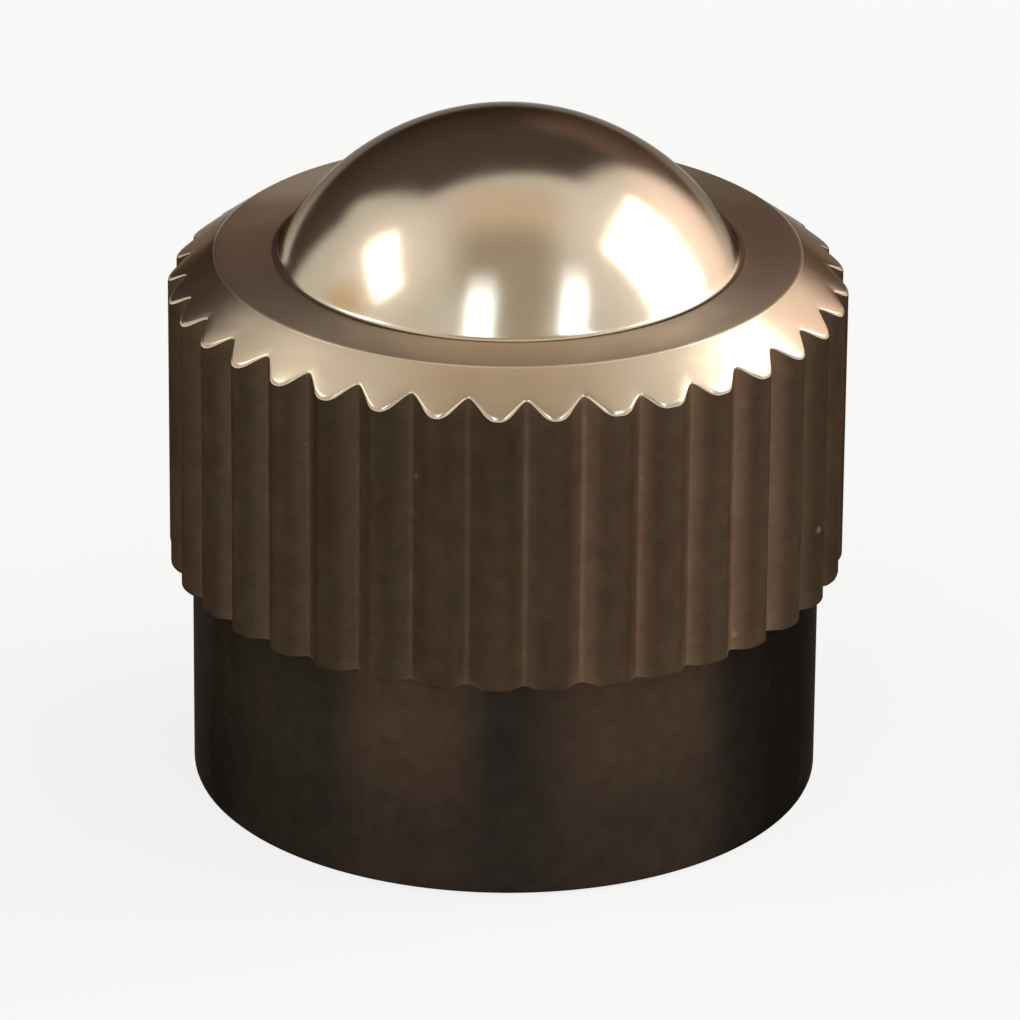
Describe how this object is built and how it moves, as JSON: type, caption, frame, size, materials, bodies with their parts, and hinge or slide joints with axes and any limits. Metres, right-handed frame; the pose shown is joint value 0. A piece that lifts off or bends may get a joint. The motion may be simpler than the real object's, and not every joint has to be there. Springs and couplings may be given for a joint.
{
  "type": "tyre valve cap",
  "caption": "Domed metal screw cap for a tyre's valve stem, with a straight-knurled grip band, a bevelled shoulder, a plain skirt and a rubber washer inside.",
  "frame": {"origin": "centre of the mouth's rim, on the thread's axis", "axes": "+Z along the thread's axis, from the mouth to the top of the dome; +X through the middle of one of the knurl's teeth"},
  "size_m": [0.01, 0.01, 0.0103],
  "materials": {
    "plated_metal": "bright nickel plate on the dome, shoulder and bevel, darkened brown on the knurl and skirt",
    "seal_rubber": "matt black"
  },
  "bodies": {
    "root": {"cap_body": "plated_metal", "sealing_washer": "seal_rubber"}
  },
  "joints": []
}
